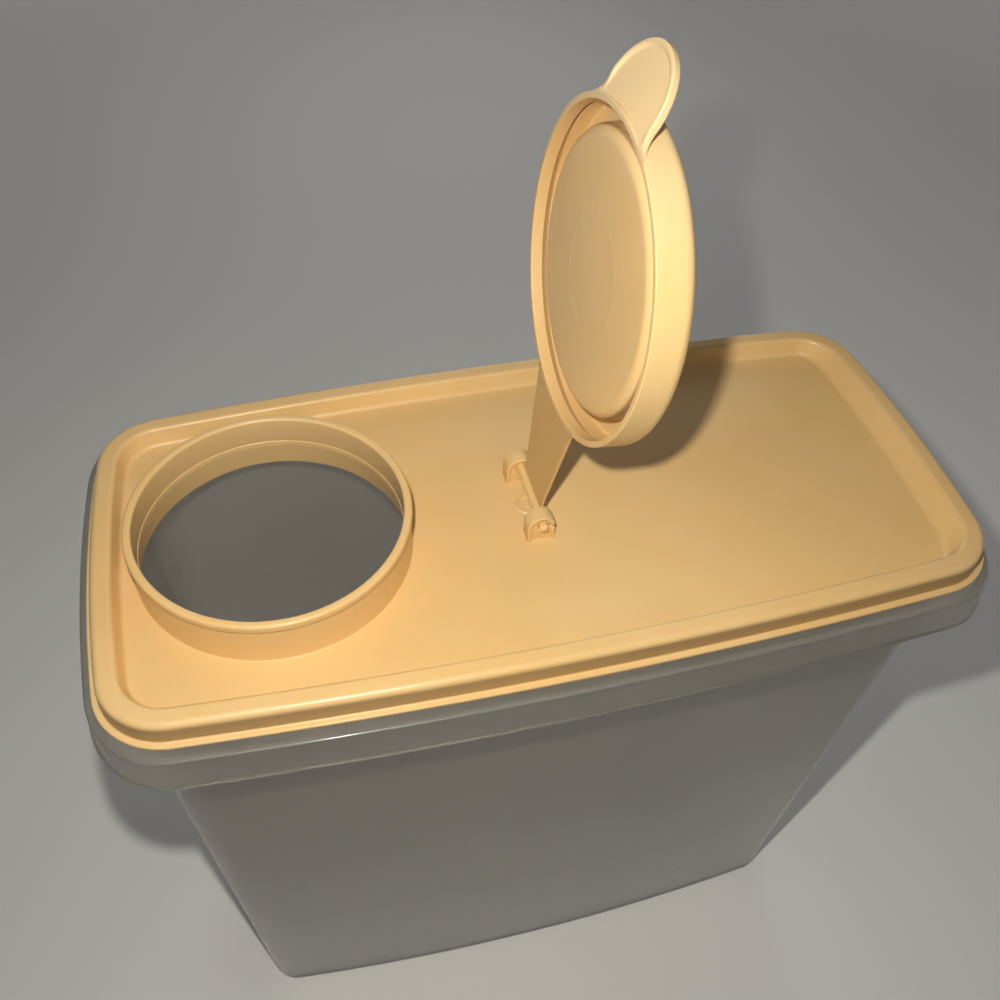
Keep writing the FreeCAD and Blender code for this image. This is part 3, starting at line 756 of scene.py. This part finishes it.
work = gather(capShell(cap), pinMesh(hinge))
for part, shadeShare in ((strapMesh(strap), strap["shadeShare"]), (tabMesh(tab), 0.0)):
    mesh = bpy.data.meshes.new("capPart")
    part.to_mesh(mesh)
    part.free()
    if shadeShare:  # painted shade over the whole strap
        paintedShade = mesh.attributes.new("paintedShade", "FLOAT", "POINT")
        paintedShade.data.foreach_set("value", [shadeShare] * len(mesh.vertices))
    work.from_mesh(mesh)
pinAt = Vector((hinge["x"] * mm, 0, pinZ * mm))
opened = turnAbout(pinAt, math.radians(cap["openAngle"]))
bmesh.ops.transform(work, matrix=opened, verts=work.verts[:])
finishPiece("keeperFlipCap", work, capPlastic, "flip_cap", "flip_cap")
print("stage flip cap")


# floor, light and camera

studio = {
    "floorTone": (0.90, 0.89, 0.865, 1), "floorDrift": 0.03, "floorSize": 6.0, "floorRoughness": 0.85,
    "ambient": 0.09, "skyTone": (1.0, 0.985, 0.955, 1), "white": (1, 1, 1),
    "keyFrom": (-0.0695, -0.1489, 0.4148), "keyAim": (0, 0, 0.2), "keySize": 0.008, "keyPower": 0.62,
    "keyTone": (1.0, 0.96, 0.88), "fillSize": 0.60, "fillSpread": 60.0,
    "fills": [((-0.95, 0.15, 0.45), (-0.10, 0.0, 0.08), 0.05), ((0.25, 1.0, 0.45), (0.0, 0.05, 0.08), 0.22),
              ((1.0, -0.1, 0.45), (0.10, 0.0, 0.08), 0.08), ((-0.15, -1.0, 0.45), (-0.05, -0.32, 0.0), 0.07)],
    "backdropFrom": (-0.1, 0.45, 0.9), "backdropAim": (0.1, 1.1, 0.0), "backdropPower": 0.35,
    "backdropSpread": 90.0, "surround": [(1.5, 0.3), (-1.6, 0.4), (0.3, -1.7), (-0.2, 1.9)],
    "surroundHeight": 1.8, "surroundReach": 1.3, "surroundSize": 1.2, "surroundPower": 4.0,
    "surroundSpread": 105.0,
}
view = {
    "azimuth": -16.519, "elevation": 47.344, "roll": 2.939, "distance": 282.79,
    "target": (-8.99, 3.15, 205.0), "lens": 36.51, "sensor": 36.0, "clip": (0.01, 20.0),
}


def scaledTone(tone, share):
    return tuple(c * share for c in tone[:3]) + (1.0,)


def makeFloor(s):
    shade = Shade("paleFloor")
    cloud = shade.noise(shade.place(), scale=3.0, detail=3.0, seed=2.0)
    darker, paler = (scaledTone(s["floorTone"], 1 + drift) for drift in (-s["floorDrift"], s["floorDrift"]))
    material = shade.finish(Base_Color=shade.mix(cloud, darker, paler), Roughness=s["floorRoughness"],
                            Specular_IOR_Level=0.2)
    work = bmesh.new()
    bmesh.ops.create_grid(work, x_segments=1, y_segments=1, size=s["floorSize"] / 2)
    mesh = bpy.data.meshes.new("studioFloor")
    work.to_mesh(mesh)
    work.free()
    mesh.materials.append(material)
    floor = bpy.data.objects.new("studioFloor", mesh)
    scene.collection.objects.link(floor)


def areaLight(name, place, aim, size, power, tone, spread=180.0):
    light = bpy.data.lights.new(name, "AREA")
    light.shape, light.size, light.energy, light.color = "DISK", size, power, tone
    light.spread = math.radians(spread)
    lamp = bpy.data.objects.new(name, light)
    lamp.visible_camera = False
    lamp.location = place
    lamp.rotation_euler = (Vector(aim) - Vector(place)).to_track_quat("-Z", "Y").to_euler()
    scene.collection.objects.link(lamp)


def makeCamera(v):
    a, e, r = (math.radians(v[k]) for k in ("azimuth", "elevation", "roll"))
    back = Vector((math.sin(a) * math.cos(e), -math.cos(a) * math.cos(e), math.sin(e)))
    right = (-back).cross(Vector((0, 0, 1))).normalized()
    up = right.cross(-back)
    across = right * math.cos(r) + up * math.sin(r)
    above = up * math.cos(r) - right * math.sin(r)
    lens = bpy.data.cameras.new("photoCamera")
    lens.lens, lens.sensor_width = v["lens"], v["sensor"]
    lens.clip_start, lens.clip_end = v["clip"]
    camera = bpy.data.objects.new("photoCamera", lens)
    place = Vector(v["target"]) * mm + back * v["distance"] * mm
    camera.matrix_world = Matrix.Translation(place) @ Matrix((across, above, back)).transposed().to_4x4()
    scene.collection.objects.link(camera)
    scene.camera = camera


def lightStudio(s):
    areaLight("keyLight", s["keyFrom"], s["keyAim"], s["keySize"], s["keyPower"], s["keyTone"])
    for i, (place, aim, power) in enumerate(s["fills"]):  # low beams on the sides that stay under the lid
        areaLight("fillLight%d" % i, place, aim, s["fillSize"], power, s["white"], s["fillSpread"])
    areaLight("backdropLight", s["backdropFrom"], s["backdropAim"], s["fillSize"], s["backdropPower"],
              s["white"], s["backdropSpread"])
    far = s["surroundReach"]
    for i, (x, y) in enumerate(s["surround"]):  # for the floor all round, turned away from the keeper
        areaLight("surroundLight%d" % i, (x, y, s["surroundHeight"]), (x * far, y * far, 0),
                  s["surroundSize"], s["surroundPower"], s["white"], s["surroundSpread"])


makeFloor(studio)
lightStudio(studio)
world = bpy.data.worlds.new("studioWorld")
world.use_nodes = True
world.node_tree.nodes["Background"].inputs["Color"].default_value = studio["skyTone"]
world.node_tree.nodes["Background"].inputs["Strength"].default_value = studio["ambient"]
scene.world = world
scene.view_settings.view_transform = "Standard"
makeCamera(view)
print("stage studio")
